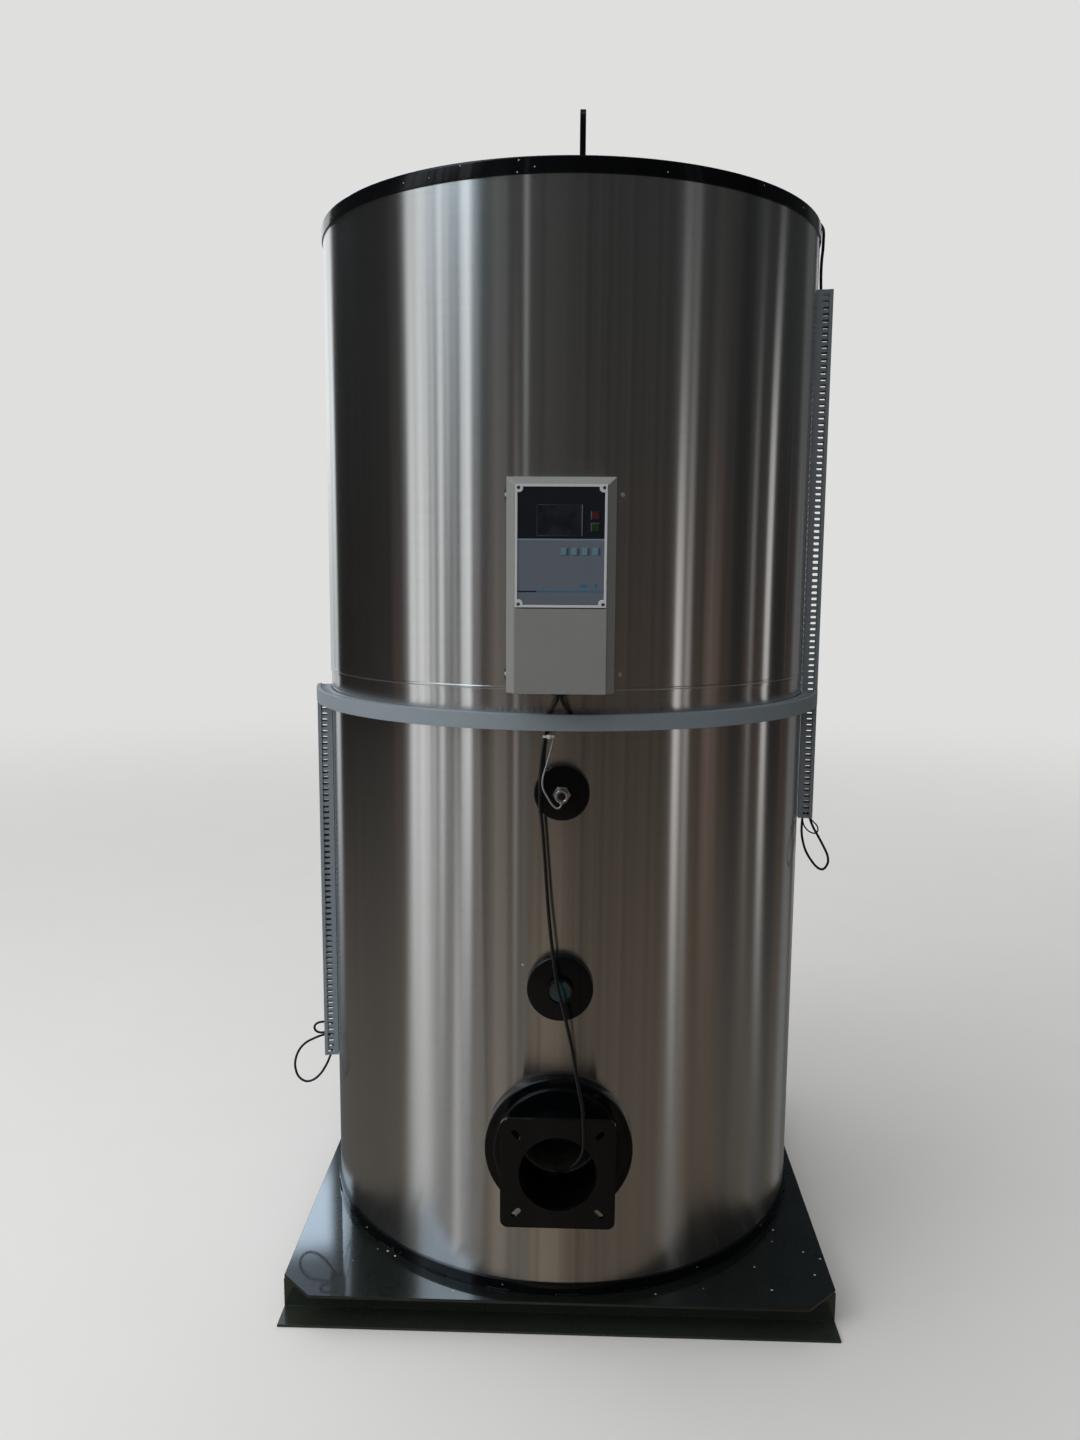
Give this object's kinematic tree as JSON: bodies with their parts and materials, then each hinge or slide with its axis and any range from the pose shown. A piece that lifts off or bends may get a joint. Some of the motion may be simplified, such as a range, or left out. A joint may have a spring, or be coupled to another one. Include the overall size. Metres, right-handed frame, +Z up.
{
  "type": "vertical industrial boiler",
  "caption": "Upright round boiler in a brushed stainless jacket on a square steel base, with front burner port, wiring ducts and a control box.",
  "frame": {"origin": "on the floor under the boiler's axis", "axes": "+Z up along the boiler's axis, -Y towards the burner port and the control box"},
  "size_m": [1.1591, 1.2155, 2.168],
  "materials": {
    "base_paint": "gloss",
    "black_enamel": "gloss",
    "vessel_steel": "matt",
    "stainless": "brushed",
    "bright_metal": "polished",
    "duct_pvc": "satin",
    "box_plastic": "satin",
    "sight_glass": "clear",
    "display": "gloss",
    "red_button": "satin",
    "green_button": "satin",
    "blue_keys": "satin",
    "black_rubber": "satin",
    "silver_lead": "braided"
  },
  "bodies": {
    "root": {"base_plate": "base_paint", "cross_angles": "base_paint", "side_angles": "base_paint", "skirt": "black_enamel", "boiler_vessel": "vessel_steel", "lower_jacket": "stainless", "upper_jacket": "stainless", "top_rim": "black_enamel", "top_plate": "black_enamel", "burner_collar": "black_enamel", "burner_tube": "black_enamel", "burner_plate": "black_enamel", "sight_collar": "black_enamel", "sight_pipe": "black_enamel", "sight_glass": "sight_glass", "sensor_collar": "black_enamel", "sensor_fitting": "bright_metal", "ring_duct": "duct_pvc", "ring_duct_cover": "duct_pvc", "left_duct": "duct_pvc", "left_duct_cover": "duct_pvc", "right_duct": "duct_pvc", "right_duct_cover": "duct_pvc", "box_rails": "bright_metal", "control_box": "box_plastic", "control_panel": "box_plastic", "control_lower_cover": "box_plastic", "control_display": "display", "stop_button": "red_button", "start_button": "green_button", "control_keys": "blue_keys", "box_grommet": "black_rubber", "flue_collar": "black_enamel", "lifting_lugs": "black_enamel", "relief_socket": "black_enamel", "top_gland": "black_rubber", "supply_nozzle": "black_enamel", "return_nozzle": "black_enamel", "supply_flange": "black_enamel", "return_flange": "black_enamel", "nozzle_plates": "black_enamel", "drain_socket": "black_enamel", "box_leads": "black_rubber", "top_lead": "black_rubber", "burner_lead": "black_rubber", "sensor_lead": "silver_lead", "left_loop": "black_rubber", "left_small_loop": "black_rubber", "right_loop": "black_rubber", "right_thin_loop": "black_rubber"}
  },
  "joints": []
}
